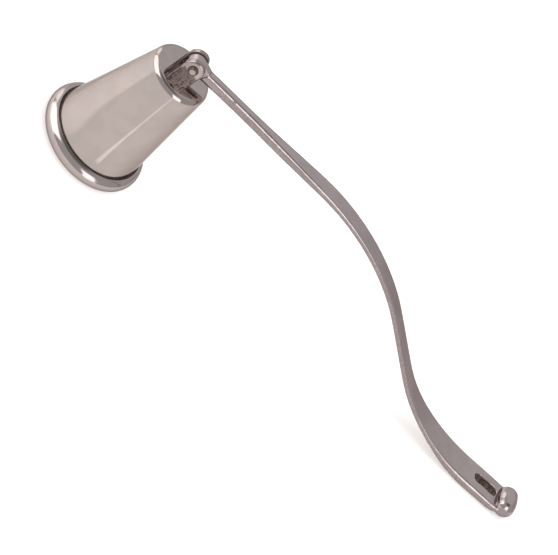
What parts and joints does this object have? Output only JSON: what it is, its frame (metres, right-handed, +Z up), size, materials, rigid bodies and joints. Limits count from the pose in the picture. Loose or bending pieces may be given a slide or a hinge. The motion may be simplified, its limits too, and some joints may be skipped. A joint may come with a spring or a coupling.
{
  "type": "candle snuffer",
  "caption": "Candle snuffer: a small metal bell with a rounded rim, hinged by a clevis and a pin to a long curved strap handle that ends in a hang hole and a cross roll.",
  "frame": {"origin": "centre of the bell's mouth, on the table that the rim stands on", "axes": "+Z up the bell's axis, +X along the handle at rest, +Y along the hinge pin"},
  "size_m": [0.2095, 0.038, 0.0559],
  "materials": {
    "shell_metal": "satin",
    "ring_metal": "polished",
    "hinge_metal": "polished",
    "handle_metal": "satin",
    "fastener_steel": "plated"
  },
  "bodies": {
    "bell": {"bell_shell": "shell_metal", "mouth_ring": "ring_metal", "clevis": "hinge_metal", "clevis_screw": "fastener_steel", "clevis_washer": "fastener_steel", "hinge_pin": "hinge_metal"},
    "handle": {"handle": "handle_metal"}
  },
  "joints": [
    {"name": "handle_hinge", "type": "hinge", "parent": "bell", "child": "handle", "pos_m": [0, 0, 0.0524], "axis": [0, -1, 0], "range_deg": [-11, 204]}
  ]
}
